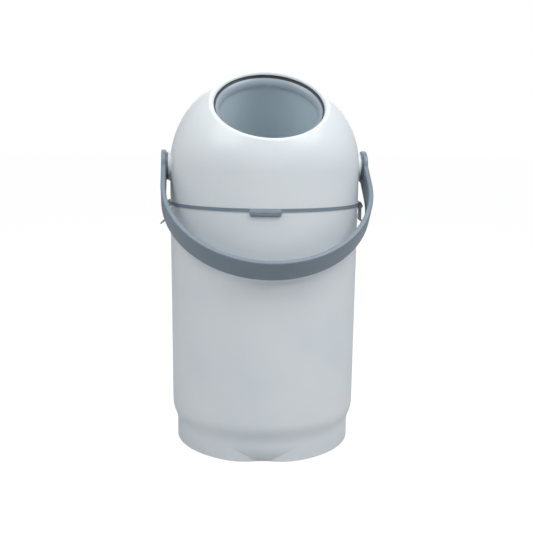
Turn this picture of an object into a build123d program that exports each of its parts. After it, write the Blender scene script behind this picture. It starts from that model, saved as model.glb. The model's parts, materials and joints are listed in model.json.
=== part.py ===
from build123d import *
import math
import os

# Diaper pail: a tall bin with a dome head. A ball drum with a sliding piston turns in the dome,
# and the big handle turns the drum. Millimetres, +Z up, origin on the pail's axis at the floor.
# The head's front is -Y. The bin stands a few degrees turned under it, as in the photograph.

# Walls and clearances
wall = 3.0
slip_gap = 0.4
seal_gap = 0.3
journal_gap = 0.05
seat_gap = 0.1

# Bin
rim_top = 368.0
rim_radius = 144.0
tuck_top = 60.0
tuck_top_radius = 142.4
tuck_bottom = 26.0
foot_radius = 135.2
bowl_radius = 126.5
foot_lift = 0.8
rest_rim_width = 5.0
floor_under = 8.0
dent_radius = 30.0
dent_depth = 9.2
dent_blend = 70.0
bin_turn = -4.5
floor_rib_count = 12
floor_rib_height = 5.0
floor_rib_width = 2.0
floor_boss_radius = 24.0

# Anti-slip ring under the bin
grip_radius = 109.0
grip_width = 7.0
grip_height = 4.5
grip_holder_wall = 2.0

# Grey clamp ring between bin and dome
ring_height = 4.6
ring_radius = 145.0
skirt_wall = 2.8
skirt_depth = 12.0
bag_gap = 0.6
spigot_height = 4.0
shelf_inner_radius = 131.0
tab_width = 43.2
tab_drop = 6.4
tab_reach = 3.2
tab_corner = 2.4

# Side clips
clip_turn = bin_turn
clip_pivot_out = 4.8
clip_pivot_drop = 2.0
clip_width = 16.0
clip_thickness = 3.2
clip_plate_in = 3.2
clip_plate_bottom = 345.0
clip_tip_out = 16.5
clip_tip_bottom = 336.5
knuckle_radius = 3.5
pin_radius = 1.5
pin_head_radius = 2.3
pin_head_height = 0.8
ear_thickness = 3.0
ear_gap = 0.3
ear_drop = 6.0
catch_out = 2.2
catch_height = 6.0
nose_height = 4.0

# Dome and the pivot of the drum
pivot_height = 425.0
dome_radius = 144.2
skirt_radius = 144.0
opening_tilt = 36.6
opening_cone = 37.5
lip_radius = 5.0
lip_end_angle = 80.0
dome_boss_radius = 22.5
dome_boss_face = 147.0
dome_boss_inside = 138.5
dome_boss_round = 1.5
screw_azimuths = (-130.0, -50.0, 20.0, 160.0)
screw_circle = 134.4
screw_boss_radius = 4.2
screw_boss_height = 12.4
screw_web = 5.0
screw_radius = 1.6
screw_head_radius = 3.0
screw_head_height = 2.2

# Drum
drum_radius = 132.5
drum_wall = 2.5
chamber_radius = 74.0
chamber_wall = 2.5
mouth_radius = 79.0
stop_radius = 71.5
stop_height = 96.0
drum_boss_radius = 20.0
drum_boss_inside = 112.0
joint_screw_across = 119.0
joint_screw_along = 22.0
joint_boss_radius = 5.5
joint_screw_radius = 1.9
joint_head_radius = 3.8
joint_head_height = 3.0
joint_screw_seat = 22.0
joint_screw_depth = 16.0

# Axle hubs
journal_radius = 12.0
bush_wall = 3.0
bush_flange_radius = 18.0
bush_flange = 1.5
hub_radius = 21.0
hub_gap = 0.4
key_size = 15.0
key_gap = 0.1
key_inner_end = 122.0
key_outer_length = 3.3
hub_screw_radius = 2.4
hub_screw_head_radius = 5.0
hub_screw_head_height = 2.4
hub_screw_inner_end = 114.0
cap_radius = 9.0
cap_height = 1.2

# Handle
handle_angle = 40.3
bail_radius = 157.0
arm_length = 56.5
arm_face = 149.6
band_thickness = 7.4
band_width = 36.0
arm_end_radius = 25.0
band_round = 2.4

# Piston
piston_radius = 73.4
piston_height = 60.0
cap_wall = 3.0
piston_seal_height = 8.0
piston_seal_width = 9.0
weight_radius = 46.0
weight_thickness = 12.0
clamp_tube_radius = 22.0
piston_screw_circle = 58.0
piston_boss_radius = 5.0
piston_screw_radius = 1.9
piston_screw_head_radius = 3.8
piston_screw_head_height = 2.6

# Lower partition under the drum
cradle_radius = 136.0
cradle_wall = 3.0
cradle_flange = 3.0
outlet_cone = 38.5
outlet_rim_cone = 43.5
cradle_start_cone = 60.0
seal_cone_in = 39.5
seal_cone_out = 42.5
seal_flange_cone = 36.7

# Heights and radii worked out from the values above
dome_bottom = rim_top + ring_height
spigot_top = dome_bottom + spigot_height
boss_seat = spigot_top + cradle_flange
dome_inner_radius = dome_radius - wall
skirt_inner_radius = skirt_radius - wall
spigot_radius = skirt_inner_radius - slip_gap
bin_inner_radius = rim_radius - wall
ring_skirt_radius = bin_inner_radius - bag_gap
ring_skirt_inner = ring_skirt_radius - skirt_wall
pivot = (0, 0, pivot_height)
tilt = math.radians(opening_tilt)
cradle_middle = cradle_radius + cradle_wall / 2
cradle_flange_inner = math.sqrt(cradle_middle**2 - (pivot_height - spigot_top) ** 2)
rim_plane_drop = cradle_middle * math.cos(math.radians(outlet_rim_cone))
rim_back = (rim_plane_drop - (pivot_height - boss_seat) * math.cos(tilt)) / math.sin(tilt)
bore_plane = Plane(origin=pivot, x_dir=(1, 0, 0), z_dir=(0, -math.sin(tilt), math.cos(tilt)))
bore_axis = Axis(pivot, (0, -math.sin(tilt), math.cos(tilt)))
bore_section = Plane(origin=pivot, x_dir=(1, 0, 0), z_dir=(0, -math.cos(tilt), -math.sin(tilt)))
bin_plane = Plane.XY.rotated((0, 0, bin_turn))


def upright(azimuth):
    """Upright plane through the axis: local x points out at that azimuth, local y points up."""
    a = math.radians(azimuth)
    return Plane(origin=(0, 0, 0), x_dir=(math.cos(a), math.sin(a), 0), z_dir=(math.sin(a), -math.cos(a), 0))


def side_plane(side):
    """Plane across the pivot axis, looking out of the left (-1) or right (+1) side."""
    return Plane(origin=pivot, x_dir=(0, -side, 0), z_dir=(side, 0, 0))


def polar(radius, angle):
    """Point at a radius and an angle from the local y axis, towards local x."""
    return (radius * math.sin(math.radians(angle)), radius * math.cos(math.radians(angle)))


def write(piece, name):
    piece.part.label = name
    export_step(piece.part, f"parts/{name}.step")


def shell_sector(inner, outer, start, end):
    """Closed outline between two radii and two angles from local y."""
    middle = (start + end) / 2
    ThreePointArc(polar(inner, start), polar(inner, middle), polar(inner, end))
    Line(polar(inner, end), polar(outer, end))
    ThreePointArc(polar(outer, end), polar(outer, middle), polar(outer, start))
    Line(polar(outer, start), polar(inner, start))


os.makedirs("parts", exist_ok=True)

# Bin body
tuck_middle = ((foot_radius + tuck_top_radius) / 2, (tuck_bottom + tuck_top) / 2)
floor_top = floor_under + wall
bowl_run = foot_radius - bowl_radius
bowl_arc = (bowl_run**2 + (tuck_bottom - foot_lift) ** 2) / (2 * bowl_run)
inner_bowl_arc = bowl_arc - wall
floor_corner = foot_radius - bowl_arc + math.sqrt(inner_bowl_arc**2 - (tuck_bottom - floor_top) ** 2)


dent_centre = foot_radius - dent_depth + dent_radius
blend_centre = foot_radius - dent_blend
blend_span = dent_blend + dent_radius
dent_half_angle = math.degrees(
    math.acos((blend_centre**2 + dent_centre**2 - blend_span**2) / (2 * blend_centre * dent_centre))
)


def ring_point(radius, angle):
    """Point at a radius and an azimuth in degrees."""
    return (radius * math.cos(math.radians(angle)), radius * math.sin(math.radians(angle)))


def dent_edge(front, side):
    """Where the dent's arc meets its blend, on one side of the dent."""
    middle = ring_point(dent_centre, front)
    blend = ring_point(blend_centre, front + side * dent_half_angle)
    share = dent_radius / blend_span
    return (middle[0] + (blend[0] - middle[0]) * share, middle[1] + (blend[1] - middle[1]) * share)


def wall_line(inset, low_radius, low_height):
    """One side of the bin's wall from the rim down to the floor, moved in by inset."""
    Line((rim_radius - inset, rim_top), (tuck_top_radius - inset, tuck_top))
    upper = TangentArc(
        (tuck_top_radius - inset, tuck_top), (tuck_middle[0] - inset, tuck_middle[1]), tangent=(0, -1)
    )
    TangentArc(upper @ 1, (foot_radius - inset, tuck_bottom), tangent=upper % 1)
    TangentArc((foot_radius - inset, tuck_bottom), (low_radius, low_height), tangent=(0, -1))


with BuildPart() as bin_body:
    with BuildSketch(bin_plane.offset(foot_lift)):
        with BuildLine():
            # Each dent is an arc between two blends, and the round outline joins front and back
            for front in (-90, 90):
                blend_out = ring_point(foot_radius, front - dent_half_angle)
                blend_in = dent_edge(front, -1)
                blend_along = (-blend_out[1], blend_out[0])
                TangentArc(blend_out, blend_in, tangent=blend_along)
                ThreePointArc(blend_in, ring_point(foot_radius - dent_depth, front), dent_edge(front, 1))
                blend_back = ring_point(foot_radius, front + dent_half_angle)
                TangentArc(
                    blend_back, dent_edge(front, 1), tangent=(blend_back[1], -blend_back[0])
                )
                ThreePointArc(
                    blend_back,
                    ring_point(foot_radius, front + 90),
                    ring_point(foot_radius, front + 180 - dent_half_angle),
                )
        make_face()
    extrude(amount=tuck_bottom - foot_lift)
    with BuildSketch(Plane.XZ):
        with BuildLine():
            Line((0, foot_lift), (bowl_radius, foot_lift))
            TangentArc((foot_radius, tuck_bottom), (bowl_radius, foot_lift), tangent=(0, -1))
            Line((foot_radius, tuck_bottom), (0, tuck_bottom))
            Line((0, tuck_bottom), (0, foot_lift))
        make_face()
    revolve(axis=Axis.Z, mode=Mode.SUBTRACT)
    with BuildSketch(Plane.XZ):
        with BuildLine():
            wall_line(0, bowl_radius, foot_lift)
            Polyline(
                (bowl_radius, foot_lift),
                (bowl_radius - rest_rim_width, foot_lift),
                (bowl_radius - rest_rim_width, floor_under),
                (0, floor_under),
                (0, floor_top),
                (floor_corner, floor_top),
            )
            wall_line(wall, floor_corner, floor_top)
            Line((rim_radius - wall, rim_top), (rim_radius, rim_top))
        make_face()
    revolve(axis=Axis.Z)
    with BuildSketch(Plane.XY.offset(floor_under)):
        Circle(grip_radius + grip_width / 2 + grip_holder_wall)
        Circle(grip_radius - grip_width / 2 - grip_holder_wall, mode=Mode.SUBTRACT)
        Circle(floor_boss_radius)
        Circle(floor_boss_radius - wall, mode=Mode.SUBTRACT)
        with PolarLocations((floor_boss_radius + bowl_radius - rest_rim_width) / 2, floor_rib_count):
            Rectangle(bowl_radius - rest_rim_width - floor_boss_radius + wall, floor_rib_width)
    extrude(amount=-floor_rib_height)
    with BuildSketch(Plane.XY):
        Circle(grip_radius + grip_width / 2 + seat_gap)
        Circle(grip_radius - grip_width / 2 - seat_gap, mode=Mode.SUBTRACT)
    extrude(amount=grip_height, mode=Mode.SUBTRACT)
    # Notch for the tab of the clamp ring
    tab_angle = math.degrees(tab_width / rim_radius)
    notch_angle = tab_angle + 2 * math.degrees(slip_gap / rim_radius)
    with BuildSketch(upright(-90 + bin_turn - notch_angle / 2)):
        with BuildLine():
            Polyline(
                (bin_inner_radius - 1, rim_top - tab_drop),
                (rim_radius + 1, rim_top - tab_drop),
                (rim_radius + 1, rim_top + 1),
                (bin_inner_radius - 1, rim_top + 1),
                close=True,
            )
        make_face()
    revolve(axis=Axis.Z, revolution_arc=notch_angle, mode=Mode.SUBTRACT)
    notch_front = math.radians(-90 + bin_turn)
    notch_corners = [
        e
        for e in bin_body.edges().filter_by(GeomType.LINE)
        if abs(e.length - wall) < 0.2
        and abs(e.center().Z - (rim_top - tab_drop)) < 0.1
        and e.center().X * math.cos(notch_front) + e.center().Y * math.sin(notch_front) > 0
    ]
    fillet(notch_corners, tab_corner)
    # Catches for the side clips
    for azimuth in (clip_turn, 180 + clip_turn):
        catch_plane = upright(azimuth)
        catch_low = clip_plate_bottom + nose_height + slip_gap
        with BuildSketch(catch_plane.offset(-clip_width / 2)):
            with BuildLine():
                Polyline(
                    (rim_radius - wall / 2, catch_low),
                    (rim_radius + catch_out, catch_low),
                    (rim_radius + catch_out, catch_low + catch_height / 3),
                    (rim_radius - wall / 4, catch_low + catch_height),
                    (rim_radius - wall / 2, catch_low + catch_height),
                    close=True,
                )
            make_face()
        extrude(amount=clip_width)
write(bin_body, "bin_body")

# Anti-slip ring, the face that the pail stands on
with BuildPart() as anti_slip_ring:
    with BuildSketch(Plane.XY):
        Circle(grip_radius + grip_width / 2)
        Circle(grip_radius - grip_width / 2, mode=Mode.SUBTRACT)
    extrude(amount=grip_height)
write(anti_slip_ring, "anti_slip_ring")

# Clamp ring: holds the bag's edge on the rim, carries the dome, the partition and the clips
clip_pivot_radius = rim_radius + clip_pivot_out
clip_pivot_height = rim_top - clip_pivot_drop
ear_middle = clip_width / 2 + ear_gap + ear_thickness / 2

with BuildPart() as clamp_ring:
    with BuildSketch(Plane.XZ):
        with BuildLine():
            Polyline(
                (shelf_inner_radius, spigot_top - wall),
                (ring_skirt_inner, spigot_top - wall),
                (ring_skirt_inner, rim_top - skirt_depth),
                (ring_skirt_radius, rim_top - skirt_depth),
                (ring_skirt_radius, rim_top),
                (ring_radius, rim_top),
                (ring_radius, dome_bottom),
                (spigot_radius, dome_bottom),
                (spigot_radius, spigot_top),
                (shelf_inner_radius, spigot_top),
                close=True,
            )
        make_face()
    revolve(axis=Axis.Z)
    with BuildSketch(upright(-90 + bin_turn - tab_angle / 2)):
        with BuildLine():
            Polyline(
                (ring_skirt_inner + skirt_wall / 2, rim_top - tab_drop + slip_gap),
                (rim_radius + tab_reach / 2, rim_top - tab_drop + slip_gap),
                (rim_radius + tab_reach, rim_top - tab_drop + tab_reach / 2),
                (rim_radius + tab_reach, rim_top),
                (ring_radius, dome_bottom),
                (ring_skirt_inner + skirt_wall / 2, dome_bottom),
                close=True,
            )
        make_face()
    revolve(axis=Axis.Z, revolution_arc=tab_angle)
    tab_front = math.radians(-90 + bin_turn)
    tab_corners = [
        e
        for e in clamp_ring.edges().filter_by(GeomType.LINE)
        if abs(e.center().Z - (rim_top - tab_drop + slip_gap)) < 0.05 and abs(e.tangent_at(0).Z) < 0.01
        and e.center().X * math.cos(tab_front) + e.center().Y * math.sin(tab_front) > 0
    ]
    fillet(tab_corners, tab_corner)
    for azimuth in (clip_turn, 180 + clip_turn):
        for side in (-1, 1):
            with BuildSketch(upright(azimuth).offset(side * ear_middle - ear_thickness / 2)):
                with BuildLine():
                    Polyline(
                        (ring_radius - 2, rim_top),
                        (ring_radius - 2, dome_bottom),
                        (clip_pivot_radius, dome_bottom),
                        (clip_pivot_radius + knuckle_radius, clip_pivot_height),
                        (clip_pivot_radius, rim_top - ear_drop),
                        (rim_radius + slip_gap, rim_top - ear_drop),
                        (rim_radius + slip_gap, rim_top),
                        close=True,
                    )
                make_face()
                with Locations((clip_pivot_radius, clip_pivot_height)):
                    Circle(pin_radius + journal_gap, mode=Mode.SUBTRACT)
            extrude(amount=ear_thickness)
    for azimuth in screw_azimuths:
        a = math.radians(azimuth)
        with BuildSketch(Plane.XY.offset(spigot_top)):
            with Locations((screw_circle * math.cos(a), screw_circle * math.sin(a))):
                Circle(screw_radius + seat_gap)
        extrude(amount=-wall, mode=Mode.SUBTRACT)
write(clamp_ring, "clamp_ring")


# Side clips with their hinge pins
def make_clip(azimuth):
    frame_plane = upright(azimuth)
    plate_in = rim_radius + clip_plate_in
    plate_out = plate_in + clip_thickness
    nose_in = rim_radius + catch_out + slip_gap
    tip = (rim_radius + clip_tip_out, clip_tip_bottom)
    with BuildPart() as clip:
        with BuildSketch(frame_plane.offset(-clip_width / 2)):
            with BuildLine():
                Polyline(
                    (plate_in, clip_pivot_height),
                    (plate_in, clip_plate_bottom + nose_height),
                    (nose_in, clip_plate_bottom + nose_height),
                    (nose_in, clip_plate_bottom + 1),
                    (plate_in, clip_plate_bottom - 1),
                    (tip[0] - clip_thickness * 0.35, tip[1] - clip_thickness * 0.35),
                    (tip[0], tip[1]),
                    (plate_out, clip_plate_bottom + 1),
                    (plate_out, clip_pivot_height),
                    close=True,
                )
            make_face()
            with Locations((clip_pivot_radius, clip_pivot_height)):
                Circle(knuckle_radius)
                Circle(pin_radius + journal_gap, mode=Mode.SUBTRACT)
        extrude(amount=clip_width)
    return clip


def make_pin(azimuth):
    frame_plane = upright(azimuth)
    half_length = ear_middle + ear_thickness / 2
    with BuildPart() as pin:
        with BuildSketch(frame_plane.offset(-half_length)):
            with Locations((clip_pivot_radius, clip_pivot_height)):
                Circle(pin_radius)
        extrude(amount=2 * half_length)
        with BuildSketch(frame_plane.offset(half_length)):
            with Locations((clip_pivot_radius, clip_pivot_height)):
                Circle(pin_head_radius)
        extrude(amount=pin_head_height)
    return pin


for name, azimuth in (("right", clip_turn), ("left", 180 + clip_turn)):
    write(make_clip(azimuth), f"{name}_clip")
    write(make_pin(azimuth), f"{name}_clip_pin")


# Dome shell with its rolled opening
def lip_point(radius, angle):
    """Point on the rolled lip's section, at an angle from the opening's axis."""
    centre = polar(dome_radius - lip_radius, opening_cone)
    offset_point = polar(radius, angle)
    return (centre[0] + offset_point[0], centre[1] + offset_point[1])


with BuildPart() as dome_shell:
    # Ball-shaped upper half and the rolled lip, one section turned about the opening's axis
    with BuildSketch(bore_section):
        with BuildLine():
            lip_middle = (opening_cone - lip_end_angle) / 2
            far_side = (opening_cone + 180) / 2
            lip_arc = ThreePointArc(
                lip_point(lip_radius, opening_cone),
                lip_point(lip_radius, lip_middle),
                lip_point(lip_radius, -lip_end_angle),
            )
            under_arc = ThreePointArc(
                lip_point(lip_radius - wall, -lip_end_angle),
                lip_point(lip_radius - wall, lip_middle),
                lip_point(lip_radius - wall, opening_cone),
            )
            Line(lip_arc @ 1, under_arc @ 0)
            ThreePointArc(under_arc @ 1, polar(dome_inner_radius, far_side), (0, -dome_inner_radius))
            Line((0, -dome_inner_radius), (0, -dome_radius))
            ThreePointArc((0, -dome_radius), polar(dome_radius, far_side), lip_arc @ 0)
        make_face()
    revolve(axis=bore_axis)
    split(bisect_by=Plane.XY.offset(pivot_height), keep=Keep.TOP)
    with BuildSketch(Plane.XZ):
        with BuildLine():
            Polyline(
                (dome_radius, pivot_height),
                (skirt_radius, dome_bottom),
                (skirt_inner_radius, dome_bottom),
                (dome_inner_radius, pivot_height),
                close=True,
            )
        make_face()
    revolve(axis=Axis.Z)
    # Bosses for the drum's axle
    for side in (-1, 1):
        with BuildSketch(side_plane(side).offset(dome_boss_inside)):
            Circle(dome_boss_radius)
        extrude(amount=dome_boss_face - dome_boss_inside)
    boss_rims = [
        e
        for e in dome_shell.edges().filter_by(GeomType.CIRCLE)
        if abs(abs(e.center().X) - dome_boss_face) < 0.01
    ]
    fillet(boss_rims, dome_boss_round)
    for side in (-1, 1):
        with BuildSketch(side_plane(side).offset(dome_boss_inside)):
            Circle(journal_radius + bush_wall)
        extrude(amount=dome_boss_face - dome_boss_inside, mode=Mode.SUBTRACT)
    # Screw bosses above the clamp ring's shelf
    for azimuth in screw_azimuths:
        a = math.radians(azimuth)
        boss_plane = Plane(
            origin=(screw_circle * math.cos(a), screw_circle * math.sin(a), boss_seat),
            x_dir=(math.cos(a), math.sin(a), 0),
            z_dir=(0, 0, 1),
        )
        with BuildSketch(boss_plane):
            Circle(screw_boss_radius)
            web_length = skirt_inner_radius + wall / 2 - screw_circle
            with Locations((web_length / 2, 0)):
                Rectangle(web_length, screw_web)
        extrude(amount=screw_boss_height)
        with BuildSketch(boss_plane):
            Circle(screw_radius + seat_gap)
        extrude(amount=screw_boss_height - wall, mode=Mode.SUBTRACT)
write(dome_shell, "dome_shell")

# Lower partition under the drum, with the outlet opposite the opening
with BuildPart() as partition:
    with BuildSketch(bore_section):
        with BuildLine():
            shell_sector(cradle_radius, cradle_radius + cradle_wall, cradle_start_cone, 180 - outlet_cone)
        make_face()
    revolve(axis=bore_axis)
    # Cut level with the flange, but the outlet keeps its raised rim at the back
    with BuildSketch(Plane.YZ):
        with BuildLine():
            Polyline(
                (rim_back, boss_seat),
                (rim_back + dome_radius * math.cos(tilt), boss_seat + dome_radius * math.sin(tilt)),
                (rim_back + dome_radius * math.cos(tilt), pivot_height + dome_radius),
                (-dome_radius, pivot_height + dome_radius),
                (-dome_radius, boss_seat),
                close=True,
            )
        make_face()
    extrude(amount=dome_radius, both=True, mode=Mode.SUBTRACT)
    with BuildSketch(Plane.XY.offset(spigot_top)):
        Circle(spigot_radius)
        Circle(cradle_flange_inner, mode=Mode.SUBTRACT)
    extrude(amount=cradle_flange)
    for azimuth in screw_azimuths:
        a = math.radians(azimuth)
        with BuildSketch(Plane.XY.offset(spigot_top)):
            with Locations((screw_circle * math.cos(a), screw_circle * math.sin(a))):
                Circle(screw_radius + seat_gap)
        extrude(amount=cradle_flange, mode=Mode.SUBTRACT)
write(partition, "partition")

# Screws that hold ring, partition and dome together
with BuildPart() as head_screws:
    for azimuth in screw_azimuths:
        a = math.radians(azimuth)
        place = (screw_circle * math.cos(a), screw_circle * math.sin(a))
        with BuildSketch(Plane.XY.offset(spigot_top - wall)):
            with Locations(place):
                Circle(screw_radius)
        extrude(amount=wall + cradle_flange + screw_boss_height - 2 * wall)
        with BuildSketch(Plane.XY.offset(spigot_top - wall)):
            with Locations(place):
                Circle(screw_head_radius)
        extrude(amount=-screw_head_height)
write(head_screws, "head_screws")


# Seal rings on the drum's surface
def make_seal(outer_radius, start, end):
    with BuildPart() as seal:
        with BuildSketch(bore_section):
            with BuildLine():
                shell_sector(drum_radius + seal_gap, outer_radius, start, end)
            make_face()
        revolve(axis=bore_axis)
    return seal


# The opening's seal also has a flange that reaches in under the rolled lip
flange_outer = math.hypot(*lip_point(lip_radius, -lip_end_angle)) - slip_gap
with BuildPart() as opening_seal:
    with BuildSketch(bore_section):
        with BuildLine():
            under_radius = drum_radius + seal_gap
            seated_radius = dome_inner_radius - seat_gap
            flange_middle = (seal_flange_cone + seal_cone_in) / 2
            seated_middle = (seal_cone_in + seal_cone_out) / 2
            ThreePointArc(
                polar(under_radius, seal_flange_cone),
                polar(under_radius, seal_cone_in),
                polar(under_radius, seal_cone_out),
            )
            Line(polar(under_radius, seal_cone_out), polar(seated_radius, seal_cone_out))
            ThreePointArc(
                polar(seated_radius, seal_cone_out),
                polar(seated_radius, seated_middle),
                polar(seated_radius, seal_cone_in),
            )
            Line(polar(seated_radius, seal_cone_in), polar(flange_outer, seal_cone_in))
            ThreePointArc(
                polar(flange_outer, seal_cone_in),
                polar(flange_outer, flange_middle),
                polar(flange_outer, seal_flange_cone),
            )
            Line(polar(flange_outer, seal_flange_cone), polar(under_radius, seal_flange_cone))
        make_face()
    revolve(axis=bore_axis)
write(opening_seal, "opening_seal")
write(make_seal(cradle_radius - seat_gap, 180 - seal_cone_out, 180 - seal_cone_in), "outlet_seal")

# Bushings in the dome's bosses
for name, side in (("right", 1), ("left", -1)):
    with BuildPart() as bushing:
        with BuildSketch(side_plane(side).offset(dome_boss_inside)):
            Circle(journal_radius + bush_wall - seat_gap)
            Circle(journal_radius + journal_gap, mode=Mode.SUBTRACT)
        extrude(amount=dome_boss_face - dome_boss_inside)
        with BuildSketch(side_plane(side).offset(dome_boss_inside)):
            Circle(bush_flange_radius)
            Circle(journal_radius + journal_gap, mode=Mode.SUBTRACT)
        extrude(amount=-bush_flange)
    write(bushing, f"{name}_bushing")

# Drum: two ball halves round a chamber tube
mouth_cone = math.degrees(math.asin(mouth_radius / drum_radius))
joint_places = [
    (joint_screw_across * i, joint_screw_along * j) for i in (-1, 1) for j in (-1, 1)
]
drum_inner_radius = drum_radius - drum_wall
drum_boss_end = (drum_inner_radius + math.sqrt(drum_radius**2 - drum_boss_radius**2)) / 2


def drum_section(side):
    """Plane at the drum's middle: local y runs along the bore, and the normal out of one side."""
    return Plane(origin=pivot, x_dir=(0, side * math.cos(tilt), side * math.sin(tilt)), z_dir=(side, 0, 0))


for name, side in (("right", 1), ("left", -1)):
    with BuildPart() as drum_half:
        # Joint bosses, trimmed to the ball
        with BuildSketch(drum_section(side)):
            with Locations(*joint_places):
                Circle(joint_boss_radius)
        extrude(amount=drum_radius / 2)
        with Locations(pivot):
            Sphere(drum_radius - drum_wall / 2, mode=Mode.INTERSECT)
        with BuildSketch(drum_section(side)):
            with BuildLine():
                shell_sector(drum_inner_radius, drum_radius, mouth_cone, 180 - mouth_cone)
            make_face()
        revolve(axis=bore_axis, revolution_arc=-180)
        # Boss with a square socket and a screw hole for the hub
        with BuildSketch(side_plane(side).offset(drum_boss_inside)):
            Circle(drum_boss_radius)
        extrude(amount=drum_boss_end - drum_boss_inside)
        with BuildSketch(side_plane(side).offset(key_inner_end)):
            Rectangle(key_size + 2 * key_gap, key_size + 2 * key_gap)
        extrude(amount=drum_radius - key_inner_end + 1, mode=Mode.SUBTRACT)
        with BuildSketch(side_plane(side).offset(drum_boss_inside - 1)):
            Circle(hub_screw_radius + seat_gap)
        extrude(amount=key_inner_end - drum_boss_inside + 2, mode=Mode.SUBTRACT)
        # Screw holes of the joint: deep pockets on the right, pilot holes on the left
        with BuildSketch(drum_section(side)):
            with Locations(*joint_places):
                Circle(joint_screw_radius + seat_gap)
        extrude(amount=joint_screw_seat + 1, mode=Mode.SUBTRACT)
        if side > 0:
            with BuildSketch(drum_section(side).offset(joint_screw_seat)):
                with Locations(*joint_places):
                    Circle(joint_head_radius + slip_gap)
            extrude(amount=drum_radius / 2, mode=Mode.SUBTRACT)
    write(drum_half, f"drum_{name}_half")

with BuildPart() as drum_screws:
    with BuildSketch(drum_section(1).offset(-joint_screw_depth)):
        with Locations(*joint_places):
            Circle(joint_screw_radius)
    extrude(amount=joint_screw_depth + joint_screw_seat)
    with BuildSketch(drum_section(1).offset(joint_screw_seat)):
        with Locations(*joint_places):
            Circle(joint_head_radius)
    extrude(amount=joint_head_height)
write(drum_screws, "drum_screws")

# Chamber tube between the two mouths
with BuildPart() as chamber_tube:
    with BuildSketch(bore_plane.offset(-stop_height)):
        Circle(chamber_radius + chamber_wall)
        Circle(chamber_radius, mode=Mode.SUBTRACT)
    extrude(amount=2 * stop_height)
write(chamber_tube, "chamber_tube")

# Mouth rings: rounded lips that keep the piston in
ring_flange = chamber_radius + chamber_wall
ring_step = math.sqrt(drum_inner_radius**2 - ring_flange**2) - seal_gap
ring_rim = mouth_radius * drum_inner_radius / drum_radius - seat_gap
ring_top = math.sqrt(drum_radius**2 - ring_rim**2) - seal_gap


def make_mouth_ring(end):
    with BuildPart() as ring:
        with BuildSketch(bore_section):
            with BuildLine():
                Polyline(
                    (stop_radius, end * stop_height),
                    (ring_flange, end * stop_height),
                    (ring_flange, end * ring_step),
                    (ring_rim, end * ring_step),
                    (ring_rim, end * ring_top),
                )
                TangentArc(
                    (stop_radius, end * stop_height), (ring_rim, end * ring_top), tangent=(0, end)
                )
            make_face()
        revolve(axis=bore_axis)
    return ring


write(make_mouth_ring(1), "opening_mouth_ring")
write(make_mouth_ring(-1), "outlet_mouth_ring")

# Hubs that join the handle to the drum
hub_inner = dome_boss_face + hub_gap
for name, side in (("right", 1), ("left", -1)):
    side_at = side_plane(side)
    with BuildPart() as hub:
        with BuildSketch(side_at.offset(drum_radius + 1)):
            Circle(journal_radius)
        extrude(amount=hub_inner - drum_radius - 1)
        with BuildSketch(side_at.offset(hub_inner)):
            Circle(hub_radius)
        extrude(amount=arm_face - hub_inner)
        with BuildSketch(side_at.offset(key_inner_end + slip_gap)):
            Rectangle(key_size, key_size)
        extrude(amount=drum_radius + 1 - key_inner_end - slip_gap)
        with BuildSketch(side_at.offset(arm_face)):
            Rectangle(key_size, key_size)
        extrude(amount=key_outer_length)
        with BuildSketch(side_at.offset(key_inner_end)):
            Circle(hub_screw_radius + seat_gap)
        extrude(amount=arm_face + key_outer_length - key_inner_end, mode=Mode.SUBTRACT)
    write(hub, f"{name}_hub")

# Handle
handle_tilt = math.radians(handle_angle)
handle_plane = Plane(
    origin=pivot,
    x_dir=(1, 0, 0),
    z_dir=(0, -math.sin(handle_tilt), math.cos(handle_tilt)),
)
arm_outer = arm_face + band_thickness
arm_cap_seat = arm_outer - cap_height - hub_screw_head_height - slip_gap

with BuildPart() as handle:
    with BuildSketch(handle_plane.offset(-band_width / 2)):
        with BuildLine():
            Line((-arm_outer, 0), (-bail_radius, -arm_length))
            ThreePointArc(
                (-bail_radius, -arm_length), (0, -arm_length - bail_radius), (bail_radius, -arm_length)
            )
            Line((bail_radius, -arm_length), (arm_outer, 0))
            Line((arm_outer, 0), (arm_face, 0))
            inner_radius = bail_radius - band_thickness
            Line((arm_face, 0), (inner_radius, -arm_length))
            ThreePointArc(
                (inner_radius, -arm_length),
                (0, -arm_length - inner_radius),
                (-inner_radius, -arm_length),
            )
            Line((-inner_radius, -arm_length), (-arm_face, 0))
            Line((-arm_face, 0), (-arm_outer, 0))
        make_face()
    extrude(amount=band_width)
    for side in (-1, 1):
        with BuildSketch(side_plane(side).offset(arm_face)):
            Circle(arm_end_radius)
        extrude(amount=band_thickness)
    outside_edges = [e for e in handle.edges() if e.length > band_thickness + 1 and e.center().Y < 25]
    fillet(outside_edges, band_round)
    for side in (-1, 1):
        with BuildSketch(side_plane(side).offset(arm_face)):
            Rectangle(key_size + 2 * key_gap, key_size + 2 * key_gap)
        extrude(amount=key_outer_length + seat_gap, mode=Mode.SUBTRACT)
        with BuildSketch(side_plane(side).offset(arm_face)):
            Circle(hub_screw_radius + seat_gap)
        extrude(amount=band_thickness, mode=Mode.SUBTRACT)
        with BuildSketch(side_plane(side).offset(arm_cap_seat)):
            Circle(cap_radius + seat_gap)
        extrude(amount=band_thickness, mode=Mode.SUBTRACT)
write(handle, "handle")

with BuildPart() as hub_screws:
    for side in (-1, 1):
        with BuildSketch(side_plane(side).offset(hub_screw_inner_end)):
            Circle(hub_screw_radius)
        extrude(amount=arm_cap_seat - hub_screw_inner_end)
        with BuildSketch(side_plane(side).offset(arm_cap_seat)):
            Circle(hub_screw_head_radius)
        extrude(amount=hub_screw_head_height)
write(hub_screws, "hub_screws")

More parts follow.
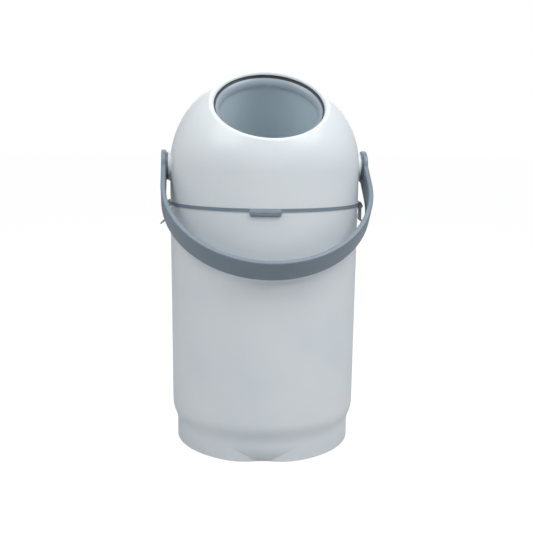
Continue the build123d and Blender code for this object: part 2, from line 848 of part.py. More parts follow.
with BuildPart() as hub_caps:
    for side in (-1, 1):
        with BuildSketch(side_plane(side).offset(arm_outer - cap_height)):
            Circle(cap_radius)
        extrude(amount=cap_height)
        with BuildSketch(side_plane(side).offset(arm_cap_seat)):
            Circle(cap_radius)
            Circle(cap_radius - 1.5, mode=Mode.SUBTRACT)
        extrude(amount=arm_outer - cap_height - arm_cap_seat)
write(hub_caps, "hub_caps")

# Piston, lying on the outlet's mouth ring
piston_centre = -(stop_height - piston_height / 2)


def piston_plane(height):
    """Plane across the bore at a height above the piston's middle."""
    return bore_plane.offset(piston_centre + height)


half_height = piston_height / 2
half_seal = piston_seal_height / 2
seal_inner = piston_radius + slip_gap / 2 - piston_seal_width

for name, end in (("upper", 1), ("lower", -1)):
    with BuildPart() as cap:
        with BuildSketch(piston_plane(end * half_height)):
            Circle(piston_radius)
        extrude(amount=-end * (half_height - half_seal))
        piston_rim = cap.edges().filter_by(GeomType.CIRCLE).sort_by(
            lambda e: (e.center() - piston_plane(end * half_height).origin).length
        )[0]
        fillet(piston_rim, cap_wall)
        with BuildSketch(piston_plane(end * half_seal)):
            Circle(piston_radius - cap_wall)
        extrude(amount=end * (half_height - half_seal - cap_wall), mode=Mode.SUBTRACT)
        # Screw bosses, and on the upper cap the tube that clamps the weight
        with BuildSketch(piston_plane(end * (half_height - cap_wall))):
            with PolarLocations(piston_screw_circle, 3):
                Circle(piston_boss_radius)
        extrude(amount=-end * (half_height - cap_wall))
        if end > 0:
            with BuildSketch(piston_plane(half_height - cap_wall)):
                Circle(clamp_tube_radius)
                Circle(clamp_tube_radius - cap_wall, mode=Mode.SUBTRACT)
            extrude(amount=-(piston_height - 2 * cap_wall - weight_thickness))
        with BuildSketch(piston_plane(0)):
            with PolarLocations(piston_screw_circle, 3):
                Circle(piston_screw_radius + seat_gap)
        if end > 0:
            extrude(amount=half_height - 2 * cap_wall, mode=Mode.SUBTRACT)
        else:
            extrude(amount=-half_height, mode=Mode.SUBTRACT)
            with BuildSketch(piston_plane(-half_height)):
                with PolarLocations(piston_screw_circle, 3):
                    Circle(piston_screw_head_radius + slip_gap)
            extrude(amount=piston_screw_head_height + slip_gap, mode=Mode.SUBTRACT)
    write(cap, f"piston_{name}_cap")

with BuildPart() as piston_seal:
    with BuildSketch(piston_plane(-half_seal)):
        Circle(piston_radius + slip_gap / 2)
        Circle(seal_inner, mode=Mode.SUBTRACT)
    extrude(amount=piston_seal_height)
write(piston_seal, "piston_seal")

with BuildPart() as piston_weight:
    with BuildSketch(piston_plane(-half_height + cap_wall)):
        Circle(weight_radius)
    extrude(amount=weight_thickness)
write(piston_weight, "piston_weight")

with BuildPart() as piston_screws:
    head_seat = -half_height + piston_screw_head_height + slip_gap
    with BuildSketch(piston_plane(head_seat)):
        with PolarLocations(piston_screw_circle, 3):
            Circle(piston_screw_radius)
    extrude(amount=half_height - cap_wall * 3 - head_seat)
    with BuildSketch(piston_plane(head_seat)):
        with PolarLocations(piston_screw_circle, 3):
            Circle(piston_screw_head_radius)
    extrude(amount=-piston_screw_head_height)
write(piston_screws, "piston_screws")
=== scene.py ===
# %% [markdown]
# # A diaper pail, dressed in Blender
# The shape of this pail was made in a CAD program and packed as a frame of rigid bodies. In these
# cells Blender gives it its finishes, adds small details, and sets the light and the camera. One
# rule holds all the way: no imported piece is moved. A better looking piece stands in its place.

import bmesh
import bpy
import json
import math
from mathutils import Matrix, Vector


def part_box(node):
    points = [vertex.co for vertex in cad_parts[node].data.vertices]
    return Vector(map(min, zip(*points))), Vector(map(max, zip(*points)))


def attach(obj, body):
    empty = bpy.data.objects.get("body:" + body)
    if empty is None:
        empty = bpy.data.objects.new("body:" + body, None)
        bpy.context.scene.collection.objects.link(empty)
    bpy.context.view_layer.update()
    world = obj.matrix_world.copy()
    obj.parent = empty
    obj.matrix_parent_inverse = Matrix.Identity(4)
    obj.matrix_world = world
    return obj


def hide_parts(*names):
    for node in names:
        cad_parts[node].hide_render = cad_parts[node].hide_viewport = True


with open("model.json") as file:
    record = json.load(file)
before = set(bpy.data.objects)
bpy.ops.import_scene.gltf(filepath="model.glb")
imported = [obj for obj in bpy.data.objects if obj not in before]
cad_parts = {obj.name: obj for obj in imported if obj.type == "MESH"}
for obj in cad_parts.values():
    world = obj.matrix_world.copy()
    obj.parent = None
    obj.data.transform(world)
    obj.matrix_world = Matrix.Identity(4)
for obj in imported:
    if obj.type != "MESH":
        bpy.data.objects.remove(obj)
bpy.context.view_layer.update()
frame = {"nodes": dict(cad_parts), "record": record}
nodes = frame["nodes"]

# %% [markdown]
# ## Shader maths as plain Python
# A material in Blender is a graph of nodes. Wiring maths nodes by hand hides the formula, so a
# small class wraps a socket and gives it Python's operators: `wear * 0.3 + 0.2` then adds the two
# Math nodes by itself. Every other node comes from one method, which sets the node's options
# first and then its inputs, because an option can change which inputs a node has.


# %% A socket with operators, and a material to grow nodes in
class Wire:
    """One output socket of a material's graph, with Python's operators."""

    def __init__(self, finish, socket):
        self.finish = finish
        self.socket = socket

    def maths(self, operation, *values):
        return self.finish.node("ShaderNodeMath", {"operation": operation}, dict(enumerate(values)))

    def __add__(self, other):
        return self.maths("ADD", self, other)

    def __sub__(self, other):
        return self.maths("SUBTRACT", self, other)

    def __rsub__(self, other):
        return self.maths("SUBTRACT", other, self)

    def __mul__(self, other):
        return self.maths("MULTIPLY", self, other)

    __radd__ = __add__
    __rmul__ = __mul__


class Finish:
    """A material whose graph is grown one node at a time round a Principled BSDF."""

    def __init__(self, name):
        self.material = bpy.data.materials.new(name)
        self.material.use_nodes = True
        self.tree = self.material.node_tree
        self.shader = self.tree.nodes["Principled BSDF"]
        self.place = self.node("ShaderNodeTexCoord", output="Object")

    def node(self, kind, settings=None, inputs=None, output=0):
        made = self.tree.nodes.new(kind)
        for key, value in (settings or {}).items():
            if key == "stops":
                self.set_stops(made.color_ramp, value)
            else:
                setattr(made, key, value)
        for key, value in (inputs or {}).items():
            self.feed(made.inputs[key], value)
        return Wire(self, made.outputs[output])

    def set_stops(self, ramp, stops):
        while len(ramp.elements) < len(stops):
            ramp.elements.new(1.0)
        for element, (position, level) in zip(ramp.elements, stops):
            element.position = position
            element.color = (level, level, level, 1)

    def feed(self, socket, value):
        if isinstance(value, Wire):
            self.tree.links.new(value.socket, socket)
        else:
            socket.default_value = value

    def set(self, **inputs):
        for key, value in inputs.items():
            self.feed(self.shader.inputs[key.replace("_", " ")], value)

    def noise(self, scale, detail=2.0, roughness=0.5, place=None):
        inputs = {"Vector": place or self.place, "Scale": scale}
        inputs.update(Detail=detail, Roughness=roughness)
        return self.node("ShaderNodeTexNoise", None, inputs)

    def stretched(self, x, y, z):
        """The object's own coordinates, drawn out along the axes."""
        return self.node("ShaderNodeMapping", None, {"Vector": self.place, "Scale": (x, y, z)})

    def ramp(self, value, stops):
        return self.node("ShaderNodeValToRGB", {"stops": stops}, {"Fac": value})

    def tint(self, amount, low, high):
        """A colour between low and high."""
        return self.node(
            "ShaderNodeMix",
            {"data_type": "RGBA"},
            {"Factor": amount, 6: (*low, 1), 7: (*high, 1)},
            output=2,
        )

    def bump(self, height, distance, strength=1.0, normal=None):
        inputs = {"Height": height, "Distance": distance, "Strength": strength}
        if normal:
            inputs["Normal"] = normal
        return self.node("ShaderNodeBump", None, inputs)


def linear(*rgb):
    """A colour as an image shows it, 0 to 255, as the linear values that Blender computes with."""
    return tuple((c / 255 / 12.92) if c < 10 else ((c / 255 + 0.055) / 1.055) ** 2.4 for c in rgb)


print("helpers ready:", Wire.__name__, Finish.__name__)

# %% [markdown]
# ## Satin plastic, in five colours
# Injection-moulded plastic is never quite one colour. The steel mould was blasted with fine grit,
# so the skin has a very fine grain. The melt leaves faint clouds in it, and handling polishes a few
# places. Noise textures at four scales give that. The finest and a wider one feed the bump, a
# streaky one polishes the surface, and the widest tints it and dulls it a little. The pail, its
# handle and the chamber share the recipe.


# %% Recipe for moulded plastic
cloud_scale, ripple_scale, rub_scale, grain_scale = 9.0, 60.0, 220.0, 1800.0
grain_height, ripple_height = 0.000012, 0.00005
rubs_run_down = (0.25, 0.25, 1.6)


def moulded_plastic(name, low, high, gloss):
    finish = Finish(name)
    clouds = finish.noise(cloud_scale, 3.0)
    skin = finish.noise(grain_scale, 2.0, 0.6)
    ripple = finish.noise(ripple_scale, 1.0)
    streaks = finish.noise(rub_scale, 4.0, 0.7, finish.stretched(*rubs_run_down))
    rubs = finish.ramp(streaks, [(0.55, 0), (0.8, 1)])
    finish.set(
        Base_Color=finish.tint(finish.ramp(clouds, [(0.35, 0), (0.65, 1)]), low, high),
        Roughness=clouds * 0.08 + (gloss - 0.04) - rubs * 0.05,
        Normal=finish.bump(skin, grain_height, 1.0, finish.bump(ripple, ripple_height, 0.35)),
        Specular_IOR_Level=0.5,
    )
    return finish.material


# name: darkest colour, lightest colour, roughness
plastic_kinds = {
    "white": ((217, 224, 229), (222, 228, 232), 0.31),
    "grey": ((119, 133, 145), (125, 139, 151), 0.32),
    # chamber: its colour is painted lighter than the drum's grey, as painted light inside the deep
    # chamber
    "chamber": ((190, 203, 210), (195, 208, 215), 0.16),
    # mouth ring: its grey is painted darker, as painted shade, so its lit face looks like the wall
    # behind it
    "mouth ring": ((150, 163, 173), (155, 168, 178), 0.30),
    "inner": ((196, 200, 204), (204, 207, 210), 0.42),
}
plastics = {
    kind: moulded_plastic(kind + " plastic", linear(*low), linear(*high), gloss)
    for kind, (low, high, gloss) in plastic_kinds.items()
}
print("plastics:", ", ".join(plastics))

# %% [markdown]
# ## Rubber, zinc and primed steel
# The seals and the ring under the foot are soft rubber: dark, matt and a little dusty. The screws
# are zinc plated, so their metal colour breaks into bright and dull flakes, which a Voronoi texture
# gives. The weight in the piston is a sawn steel disc under a thin grey primer.

# %% Rubber, zinc and primer
rubber = Finish("soft rubber")
dust = rubber.ramp(rubber.noise(35.0, 5.0, 0.65), [(0.45, 0), (0.75, 1)])
rubber.set(
    Base_Color=rubber.tint(dust, linear(70, 76, 82), linear(92, 98, 103)),
    Roughness=dust * 0.12 + 0.62,
    Normal=rubber.bump(rubber.noise(900.0, 3.0, 0.6), 0.00003),
)

zinc = Finish("zinc plate")
flakes = zinc.node("ShaderNodeTexVoronoi", None, {"Vector": zinc.place, "Scale": 900.0})
zinc.set(
    Base_Color=zinc.tint(flakes, linear(205, 205, 200), linear(168, 170, 170)),
    Metallic=1.0,
    Roughness=flakes * 0.18 + 0.26,
    Normal=zinc.bump(zinc.noise(1500.0), 0.00001),
)

primer = Finish("primed steel")
saw = primer.noise(500.0, 2.0, 0.5, primer.stretched(1.0, 0.05, 0.05))
primer.set(
    Base_Color=primer.tint(primer.noise(30.0, 4.0), linear(104, 108, 110), linear(124, 127, 128)),
    Roughness=primer.noise(90.0) * 0.2 + 0.45,
    Normal=primer.bump(saw, 0.00006),
)
print("other finishes:", rubber.material.name, zinc.material.name, primer.material.name)

# %% [markdown]
# ## Give each imported node its finish
# The record that came with the frame says which material slot each node takes. The chamber tube and
# the piston's caps get a smoother plastic than their slot, because a clear reflection is seen
# inside the chamber. Their colour is also painted lighter than the drum's grey, as painted light in
# the deep chamber. The ring at the chamber's mouth faces the lamps, so its grey is painted darker,
# as painted shade, and it then looks like the wall behind it.

# %% Finish by slot
by_slot = {
    "white_plastic": plastics["white"],
    "grey_plastic": plastics["grey"],
    "inner_plastic": plastics["inner"],
    "soft_seal": rubber.material,
    "zinc_screw": zinc.material,
    "steel_weight": primer.material,
}
own_finish = {
    # the chamber tube and the piston's caps take the lighter plastic, whose colour is painted light
    "chamber_tube": plastics["chamber"],
    "piston_upper_cap": plastics["chamber"],
    "piston_lower_cap": plastics["chamber"],
    # the ring at the chamber's mouth takes the darker grey, whose colour is painted shade
    "opening_mouth_ring": plastics["mouth ring"],
}
for part in frame["record"]["subparts"]:
    material = own_finish.get(part["node"], by_slot[part["material_slot"]])
    mesh = nodes[part["node"]].data
    mesh.materials.clear()
    mesh.materials.append(material)

# %% [markdown]
# ## The plate on the ring's tab
# At the front the grey ring has a tab with a slightly raised rounded plate. A box with a bevel
# would be flat, and the tab is curved. So it is a rounded outline wrapped round the pail and drawn
# four times: on the tab, twice smaller and further out, and once more for the flat top. Light
# then catches the edge.


# %% A rounded plate wrapped round the pail
def rounded_outline(width, height, corner, steps=6):
    """Points round a rectangle with round corners, centred on 0, 0."""
    points = []
    for quarter, (sx, sy) in enumerate(((1, 1), (-1, 1), (-1, -1), (1, -1))):
        for step in range(steps + 1):
            a = math.radians(90 * quarter + 90 * step / steps)
            x = sx * (width / 2 - corner) + corner * math.cos(a)
            y = sy * (height / 2 - corner) + corner * math.sin(a)
            points.append((x, y))
    return points


plate_corner, least_corner = 0.0022, 0.0006


def wrapped_plate(name, radius, azimuth, middle, width, height, rings):
    """Rings are (inset, proud) pairs from the plate's edge to its top."""
    made = bmesh.new()
    rows = []
    for inset, proud in rings:
        corner = max(plate_corner - inset, least_corner)
        outline = rounded_outline(width - 2 * inset, height - 2 * inset, corner)
        row = []
        for along, up in outline:
            a = azimuth + along / radius
            r = radius + proud
            row.append(made.verts.new((r * math.cos(a), r * math.sin(a), middle + up)))
        rows.append(row)
    for low, high in zip(rows, rows[1:]):
        for i in range(len(low)):
            j = (i + 1) % len(low)
            made.faces.new((low[i], low[j], high[j], high[i]))
    made.faces.new(rows[-1])
    made.faces.new(list(reversed(rows[0])))
    mesh = bpy.data.meshes.new(name)
    made.to_mesh(mesh)
    made.free()
    plate = bpy.data.objects.new(name, mesh)
    bpy.context.scene.collection.objects.link(plate)
    return plate


bin_turn = -4.5
tab_azimuth = math.radians(-90 + bin_turn)
tab_plate = wrapped_plate(
    "tab_plate",
    radius=0.14715,
    azimuth=tab_azimuth,
    middle=0.36560,
    width=0.0300,
    height=0.0042,
    rings=((0, 0), (0.0001, 0.0004), (0.0004, 0.0007), (0.0008, 0.0006)),
)
tab_plate.data.materials.append(plastics["grey"])
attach(tab_plate, "head")
print("tab plate has", len(tab_plate.data.polygons), "faces")
low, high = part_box("clamp_ring")
print("the ring reaches from z", round(low[2], 4), "to", round(high[2], 4))

# %% [markdown]
# ## Screws with a real thread
# Thirteen screws hold the pail together. In the CAD model each is a plain shank with a flat head.
# A screw's shape follows a rule, a ridge that climbs one pitch with each turn, so a grid of points
# round the shank is pushed out where the ridge passes. The head is a grid too, pressed down inside
# a cross. Geometry Nodes then set one screw on each place, because all screws of a set are alike.


# %% The shape of one screw
pitch, sides, rows_per_turn, ridge_depth = 0.0014, 20, 5, 0.2
cross_width, cross_reach, cross_floor = 0.16, 0.7, 0.45
head_rows, head_middle, head_edge = 5, 0.35, 0.55


def screw_shape(name, shank, length, head, head_height):
    """A screw that points up: its seat is at z 0, its head below and its tip above."""
    made = bmesh.new()
    rows = []
    last = head_rows - 1
    for row in range(head_rows):
        radius = head * (head_middle + (1 - head_middle) * row / last)
        top = -head_height * (1.0 if row < last else head_edge)
        rows.append(screw_row(made, radius, top, head))
    rows.append(screw_row(made, head, -head_height * 0.1, None))
    rows.append(screw_row(made, head * 0.97, 0, None))
    steps = int(length / pitch * rows_per_turn)
    for step in range(steps + 1):
        z = length * step / steps
        taper = min(1.0, (length - z) / (2 * pitch) + 0.25)
        row = []
        for side in range(sides):
            phase = (z / pitch - side / sides) % 1.0
            ridge = 1.0 - ridge_depth * min(1.0, 4 * abs(phase - 0.5))
            a = 2 * math.pi * side / sides
            r = shank * ridge * taper
            row.append(made.verts.new((r * math.cos(a), r * math.sin(a), z)))
        rows.append(row)
    for low_row, high_row in zip(rows, rows[1:]):
        for i in range(sides):
            j = (i + 1) % sides
            made.faces.new((low_row[i], low_row[j], high_row[j], high_row[i]))
    made.faces.new(list(reversed(rows[0])))
    made.faces.new(rows[-1])
    bmesh.ops.recalc_face_normals(made, faces=made.faces)
    mesh = bpy.data.meshes.new(name)
    made.to_mesh(mesh)
    made.free()
    return bpy.data.objects.new(name, mesh)


def screw_row(made, radius, z, head):
    """One ring of points on the head, pressed in where the cross recess is."""
    row = []
    for side in range(sides):
        a = 2 * math.pi * side / sides
        x, y = radius * math.cos(a), radius * math.sin(a)
        near_axis = head and min(abs(x), abs(y)) < head * cross_width
        in_cross = near_axis and radius < head * cross_reach
        row.append(made.verts.new((x, y, z * (cross_floor if in_cross else 1.0))))
    return row


print("screw recipe ready:", sides, "sides,", rows_per_turn, "rows a turn")

# %% [markdown]
# ## One small tree for all repeats
# Copying an object in a loop would work too. A node tree does it in one step, and its inputs have
# names, so that the same tree serves the screws and later the ridges on the clips. It ends in
# Realize Instances, which makes real faces of the copies, and in Set Material.


# %% Geometry Nodes that set a piece on points
def interface_id(tree, name):
    """A modifier's input is set by its socket's identifier."""
    return next(item.identifier for item in tree.interface.items_tree if item.name == name)


def new_tree(name, inputs):
    """A geometry tree with named inputs; returns it with its input and output nodes."""
    tree = bpy.data.node_groups.new(name, "GeometryNodeTree")
    for label, kind in inputs:
        tree.interface.new_socket(label, in_out="INPUT", socket_type=kind)
    tree.interface.new_socket("Result", in_out="OUTPUT", socket_type="NodeSocketGeometry")
    return tree, tree.nodes.new("NodeGroupInput"), tree.nodes.new("NodeGroupOutput")


def join_up(tree, *links):
    for source, target in links:
        tree.links.new(source, target)


repeat_tree, given, result = new_tree(
    "set a piece on points",
    (
        ("Points", "NodeSocketGeometry"),
        ("Piece", "NodeSocketObject"),
        ("Turn", "NodeSocketVector"),
        ("Finish", "NodeSocketMaterial"),
    ),
)
piece_info = repeat_tree.nodes.new("GeometryNodeObjectInfo")
on_points = repeat_tree.nodes.new("GeometryNodeInstanceOnPoints")
realized = repeat_tree.nodes.new("GeometryNodeRealizeInstances")
painted = repeat_tree.nodes.new("GeometryNodeSetMaterial")
join_up(
    repeat_tree,
    (given.outputs["Points"], on_points.inputs["Points"]),
    (given.outputs["Piece"], piece_info.inputs["Object"]),
    (piece_info.outputs["Geometry"], on_points.inputs["Instance"]),
    (given.outputs["Turn"], on_points.inputs["Rotation"]),
    (on_points.outputs["Instances"], realized.inputs["Geometry"]),
    (realized.outputs["Geometry"], painted.inputs["Geometry"]),
    (given.outputs["Finish"], painted.inputs["Material"]),
    (painted.outputs["Geometry"], result.inputs["Result"]),
)


def settled(name, start_mesh, tree, values, body):
    """Runs a tree on a mesh and keeps the result as a plain mesh that rides on a body."""
    carrier = bpy.data.objects.new(name + "_carrier", start_mesh)
    bpy.context.scene.collection.objects.link(carrier)
    modifier = carrier.modifiers.new("nodes", "NODES")
    modifier.node_group = tree
    for label, value in values.items():
        modifier[interface_id(tree, label)] = value
    depsgraph = bpy.context.evaluated_depsgraph_get()
    mesh = bpy.data.meshes.new_from_object(carrier.evaluated_get(depsgraph))
    bpy.data.objects.remove(carrier)
    piece = bpy.data.objects.new(name, mesh)
    bpy.context.scene.collection.objects.link(piece)
    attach(piece, body)
    return piece


def set_on_points(name, points, piece, turn, finish, body):
    cloud = bpy.data.meshes.new(name + "_points")
    cloud.from_pydata([tuple(point) for point in points], [], [])
    values = {"Piece": piece, "Turn": turn, "Finish": finish}
    return settled(name, cloud, repeat_tree, values, body)


print("tree", repeat_tree.name, "has", len(repeat_tree.nodes), "nodes")

# %% [markdown]
# ## Where the screws sit
# The places come from the CAD model's own sizes: four screws in a ring hold the cradle in the head,
# four join the halves of the ball, three the caps of the piston, and one goes into each end of the
# axle. The chamber is tilted, so two directions, along it and across it, say where its screws are.

# %% The thirteen screws
bore_tilt = math.radians(36.6)
bore_up = Vector((0, -math.sin(bore_tilt), math.cos(bore_tilt)))
bore_across = Vector((0, math.cos(bore_tilt), math.sin(bore_tilt)))
sideways = Vector((1, 0, 0))
pivot = Vector((0, 0, 0.425))

head_circle, head_seat = 0.1344, 0.3736
head_places = [
    (head_circle * math.cos(math.radians(a)), head_circle * math.sin(math.radians(a)), head_seat)
    for a in (-130, -50, 20, 160)
]
drum_seat, drum_across, drum_along = 0.022, 0.119, 0.022
drum_places = [
    pivot + drum_seat * sideways + drum_across * i * bore_across + drum_along * j * bore_up
    for i in (-1, 1)
    for j in (-1, 1)
]
piston_seat, piston_circle = 0.093, 0.058
piston_places = [
    pivot
    - piston_seat * bore_up
    + piston_circle * (math.cos(a) * sideways + math.sin(a) * bore_across)
    for a in (0, 2 * math.pi / 3, 4 * math.pi / 3)
]
hub_seat = 0.1530
right_end, left_end = (hub_seat, 0, pivot.z), (-hub_seat, 0, pivot.z)
quarter = math.pi / 2
# node, places, turn, body, then in metres: shank radius, length, head radius, head height
screw_sets = [
    ("head_screws", head_places, (0, 0, 0), "head", 0.0016, 0.0124, 0.0030, 0.0022),
    ("drum_screws", drum_places, (0, -quarter, 0), "drum", 0.0019, 0.0380, 0.0038, 0.0030),
    ("piston_screws", piston_places, (bore_tilt, 0, 0), "piston", 0.0019, 0.0480, 0.0038, 0.0026),
    ("hub_screws", [right_end], (0, -quarter, 0), "drum", 0.0024, 0.0390, 0.0050, 0.0024),
    ("hub_screws", [left_end], (0, quarter, 0), "drum", 0.0024, 0.0390, 0.0050, 0.0024),
]
threaded = {}
for node, places, turn, body, shank, length, head, head_height in screw_sets:
    shape = screw_shape(node + "_shape", shank, length, head, head_height)
    title = "threaded_" + node + ("_left" if node in threaded else "")
    piece = set_on_points(title, places, shape, turn, zinc.material, body)
    threaded.setdefault(node, []).append(piece)
    print(title, "x", len(places), "faces", len(piece.data.polygons))
for node, pieces in threaded.items():
    for piece in pieces:
        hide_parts(node)

# %% [markdown]
# ## Tread under the pail
# The ring under the foot is soft rubber with small blocks, so that it holds on a smooth floor. It
# could be cut with booleans, but a rule gives it more simply: one section swept round a circle, and
# blocks set on the same circle, each turned to face outwards.

# %% A rubber ring with blocks
ring_steps, block_fill = 180, 0.62
tread_tree, given, result = new_tree(
    "ring with blocks",
    (
        ("Start", "NodeSocketGeometry"),
        ("Radius", "NodeSocketFloat"),
        ("Width", "NodeSocketFloat"),
        ("Height", "NodeSocketFloat"),
        ("Block height", "NodeSocketFloat"),
        ("Blocks", "NodeSocketInt"),
        ("Finish", "NodeSocketMaterial"),
    ),
)
made = {
    name: tread_tree.nodes.new(kind)
    for name, kind in {
        "circle": "GeometryNodeCurvePrimitiveCircle",
        "section": "GeometryNodeCurvePrimitiveQuadrilateral",
        "sweep": "GeometryNodeCurveToMesh",
        "spots": "GeometryNodeMeshCircle",
        "block": "GeometryNodeMeshCube",
        "block size": "ShaderNodeCombineXYZ",
        "where": "GeometryNodeInputPosition",
        "turn": "FunctionNodeAlignRotationToVector",
        "set": "GeometryNodeInstanceOnPoints",
        "lift band": "GeometryNodeTransform",
        "lift blocks": "GeometryNodeTransform",
        "band lift": "ShaderNodeCombineXYZ",
        "block lift": "ShaderNodeCombineXYZ",
        "band middle": "ShaderNodeMath",
        "half block": "ShaderNodeMath",
        "band height": "ShaderNodeMath",
        "block width": "ShaderNodeMath",
        "join": "GeometryNodeJoinGeometry",
        "real": "GeometryNodeRealizeInstances",
        "paint": "GeometryNodeSetMaterial",
    }.items()
}
made["circle"].inputs["Resolution"].default_value = ring_steps
made["turn"].axis = "X"
made["band middle"].operation = "MULTIPLY_ADD"
made["band middle"].inputs[1].default_value = 0.5
made["half block"].operation = "MULTIPLY"
made["half block"].inputs[1].default_value = 0.5
made["band height"].operation = "SUBTRACT"
made["block width"].operation = "MULTIPLY"
made["block width"].inputs[1].default_value = block_fill
join_up(
    tread_tree,
    (given.outputs["Radius"], made["circle"].inputs["Radius"]),
    (given.outputs["Height"], made["band height"].inputs[0]),
    (given.outputs["Block height"], made["band height"].inputs[1]),
    (given.outputs["Width"], made["section"].inputs["Width"]),
    (made["band height"].outputs[0], made["section"].inputs["Height"]),
    (made["circle"].outputs["Curve"], made["sweep"].inputs["Curve"]),
    (made["section"].outputs["Curve"], made["sweep"].inputs["Profile Curve"]),
    (made["band height"].outputs[0], made["band middle"].inputs[0]),
    (given.outputs["Block height"], made["band middle"].inputs[2]),
    (made["band middle"].outputs[0], made["band lift"].inputs["Z"]),
    (made["sweep"].outputs["Mesh"], made["lift band"].inputs["Geometry"]),
    (made["band lift"].outputs[0], made["lift band"].inputs["Translation"]),
    (given.outputs["Radius"], made["spots"].inputs["Radius"]),
    (given.outputs["Blocks"], made["spots"].inputs["Vertices"]),
    (made["where"].outputs[0], made["turn"].inputs["Vector"]),
    (given.outputs["Width"], made["block size"].inputs["X"]),
    (given.outputs["Width"], made["block width"].inputs[0]),
    (made["block width"].outputs[0], made["block size"].inputs["Y"]),
    (given.outputs["Block height"], made["block size"].inputs["Z"]),
    (made["block size"].outputs[0], made["block"].inputs["Size"]),
    (made["spots"].outputs["Mesh"], made["set"].inputs["Points"]),
    (made["block"].outputs["Mesh"], made["set"].inputs["Instance"]),
    (made["turn"].outputs["Rotation"], made["set"].inputs["Rotation"]),
    (given.outputs["Block height"], made["half block"].inputs[0]),
    (made["half block"].outputs[0], made["block lift"].inputs["Z"]),
    (made["set"].outputs["Instances"], made["lift blocks"].inputs["Geometry"]),
    (made["block lift"].outputs[0], made["lift blocks"].inputs["Translation"]),
    (made["lift band"].outputs["Geometry"], made["join"].inputs["Geometry"]),
    (made["lift blocks"].outputs["Geometry"], made["join"].inputs["Geometry"]),
    (made["join"].outputs["Geometry"], made["real"].inputs["Geometry"]),
    (made["real"].outputs["Geometry"], made["paint"].inputs["Geometry"]),
    (given.outputs["Finish"], made["paint"].inputs["Material"]),
    (made["paint"].outputs["Geometry"], result.inputs["Result"]),
)
tread = settled(
    "tread_ring",
    bpy.data.meshes.new("start"),
    tread_tree,
    {
        "Radius": 0.109,
        "Width": 0.0069,
        "Height": 0.0045,
        "Block height": 0.0014,
        "Blocks": 110,
        "Finish": rubber.material,
    },
    "bin",
)
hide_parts("anti_slip_ring")
print("tread ring faces:", len(tread.data.polygons))

# %% [markdown]
# ## Grips on the clips
# Where a finger lifts a clip, its tip has a few fine ridges. One ridge is a thin bar with rounded
# ends, and the tree from the screws sets four of them down each tip.


# %% Ridges on the clips' lifting tips
# place along the bar, and thickness there, as shares of its length and radius
ridge_outline = ((-0.5, 0.3), (-0.48, 0.8), (-0.45, 1.0), (0.45, 1.0), (0.48, 0.8), (0.5, 0.3))


def ridge_shape(name, length, radius, sides=8):
    """A thin round bar along y, rounded off at its ends."""
    bar = bmesh.new()
    rows = []
    for along, size in ridge_outline:
        row = []
        for side in range(sides):
            a = 2 * math.pi * side / sides
            x, z = radius * size * math.cos(a), radius * size * math.sin(a)
            row.append(bar.verts.new((x, length * along, z)))
        rows.append(row)
    for low_row, high_row in zip(rows, rows[1:]):
        for i in range(sides):
            j = (i + 1) % sides
            bar.faces.new((low_row[i], low_row[j], high_row[j], high_row[i]))
    bar.faces.new(rows[0])
    bar.faces.new(rows[-1])
    bmesh.ops.recalc_face_normals(bar, faces=bar.faces)
    mesh = bpy.data.meshes.new(name)
    bar.to_mesh(mesh)
    bar.free()
    return bpy.data.objects.new(name, mesh)


ridge = ridge_shape("ridge", 0.0125, 0.0005)
tip_start, tip_end = (0.1504, 0.3460), (0.1605, 0.3365)
for side, azimuth in (("right", bin_turn), ("left", 180 + bin_turn)):
    a = math.radians(azimuth)
    ridge_places = []
    for step in (0.34, 0.50, 0.66, 0.82):
        r = tip_start[0] + (tip_end[0] - tip_start[0]) * step
        z = tip_start[1] + (tip_end[1] - tip_start[1]) * step
        ridge_places.append((r * math.cos(a), r * math.sin(a), z))
    name, body = side + "_clip_grips", side + "_clip"
    finish = plastics["grey"]
    grips = set_on_points(name, ridge_places, ridge, (0, 0, a), finish, body)
    print(grips.name, "faces:", len(grips.data.polygons))

# %% [markdown]
# ## A floor, light and the photographer's place
# The photograph is a cut-out product shot: the light is broad and comes from above, a little
# stronger from the right, and the ground is white. Soft area lamps light the pail at a plain level.
# The white behind it is only the colour that the camera sees: the floor's material asks the Light
# Path node what kind of ray hits it, and for the camera it mixes a white glow into a matt grey.

# %% White floor and white world
floor_colour, floor_glow, glow_share = (0.55, 0.56, 0.57, 1), 1.19, 0.8
world_light, world_white = 0.35, 1.0
bpy.ops.mesh.primitive_plane_add(size=40.0)
floor = bpy.context.object
floor.name = "floor"
ground = bpy.data.materials.new("pale floor")
ground.use_nodes = True
tree = ground.node_tree
tree.nodes.clear()
out = tree.nodes.new("ShaderNodeOutputMaterial")
mix = tree.nodes.new("ShaderNodeMixShader")
matt = tree.nodes.new("ShaderNodeBsdfDiffuse")
matt.inputs["Color"].default_value = floor_colour
glow = tree.nodes.new("ShaderNodeEmission")
glow.inputs["Strength"].default_value = floor_glow
path = tree.nodes.new("ShaderNodeLightPath")
share = tree.nodes.new("ShaderNodeMath")
share.operation = "MULTIPLY"
share.inputs[1].default_value = glow_share
tree.links.new(path.outputs["Is Camera Ray"], share.inputs[0])
tree.links.new(share.outputs[0], mix.inputs["Fac"])
tree.links.new(matt.outputs[0], mix.inputs[1])
tree.links.new(glow.outputs[0], mix.inputs[2])
tree.links.new(mix.outputs[0], out.inputs["Surface"])
floor.data.materials.append(ground)

world = bpy.data.worlds.new("studio")
bpy.context.scene.world = world
world.use_nodes = True
tree = world.node_tree
sky = tree.nodes["Background"]
sky.inputs["Color"].default_value = (1, 1, 1, 1)
path = tree.nodes.new("ShaderNodeLightPath")
level = tree.nodes.new("ShaderNodeMix")
level.data_type = "FLOAT"
level.inputs["A"].default_value = world_light
level.inputs["B"].default_value = world_white
tree.links.new(path.outputs["Is Camera Ray"], level.inputs["Factor"])
tree.links.new(level.outputs[0], sky.inputs["Strength"])
print("floor glow", floor_glow, "share", glow_share, "world light", world_light)


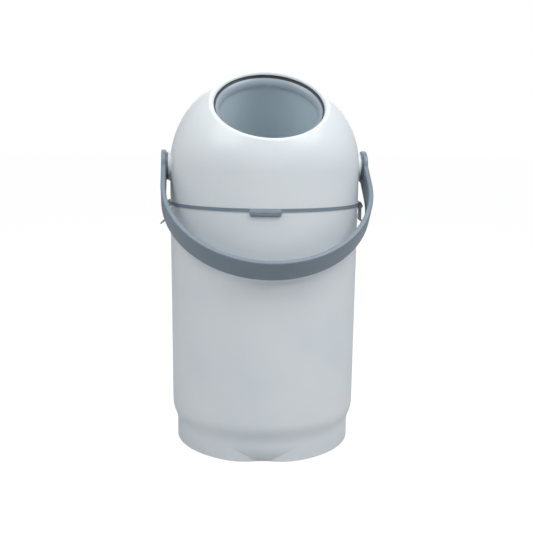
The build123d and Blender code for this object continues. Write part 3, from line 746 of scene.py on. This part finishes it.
# %% Soft lamps
def soft_lamp(name, place, target, size, power):
    light = bpy.data.lights.new(name, "AREA")
    light.energy = power
    light.shape = "RECTANGLE"
    light.size = size
    light.size_y = size
    lamp = bpy.data.objects.new(name, light)
    lamp.location = place
    lamp.rotation_euler = (Vector(target) - Vector(place)).to_track_quat("-Z", "Y").to_euler()
    bpy.context.scene.collection.objects.link(lamp)
    return lamp


lamps = [
    soft_lamp("key from the upper right", (0.75, -0.65, 1.40), (0, 0, 0.47), 0.9, 12.5),
    soft_lamp("fill from the upper left", (-0.85, -0.60, 1.30), (0, 0, 0.47), 0.9, 8.0),
    soft_lamp("top", (0.0, -0.4, 1.9), (0, 0, 0.45), 1.2, 7.0),
    soft_lamp("back", (0.2, 1.5, 1.2), (0, 0, 0.30), 1.4, 9.0),
]
print("lamps:", ", ".join(lamp.name for lamp in lamps))

# %% [markdown]
# ## The camera
# The photograph was measured to find where it was taken from: 1.2 m in front, about the height of
# the dome, looking 9 degrees down. The pail stands turned a little, so in the pail's own frame the
# camera goes a few degrees to its left. Blender wants the camera as a matrix: its right, its up
# and the way back from what it looks at.

# %% Camera at the photograph's place
yaw, tilt_down, roll, turn = (math.radians(v) for v in (0.2205, 9.345, 0.590, -5.3))
distance, height = 1.2082, 0.4678
sensor, focal_pixels, image_side = 36.0, 779.63, 533
forward = Vector(
    (math.sin(yaw) * math.cos(tilt_down), math.cos(yaw) * math.cos(tilt_down), -math.sin(tilt_down))
)
right = Vector((math.cos(yaw), -math.sin(yaw), 0))
up = right.cross(forward)
rolled_right = math.cos(roll) * right + math.sin(roll) * up
rolled_up = math.cos(roll) * up - math.sin(roll) * right
pose = Matrix((rolled_right, rolled_up, -forward)).transposed().to_4x4()
pose.translation = Vector((0, -distance, height))
camera_data = bpy.data.cameras.new("camera")
camera_data.sensor_width = sensor
camera_data.lens = sensor * focal_pixels / image_side
camera = bpy.data.objects.new("camera", camera_data)
camera.matrix_world = Matrix.Rotation(turn, 4, "Z") @ pose
bpy.context.scene.collection.objects.link(camera)
bpy.context.scene.camera = camera
bpy.context.scene.view_settings.view_transform = "Standard"
print("lens", round(camera_data.lens, 2), "mm at", [round(v, 3) for v in camera.location])
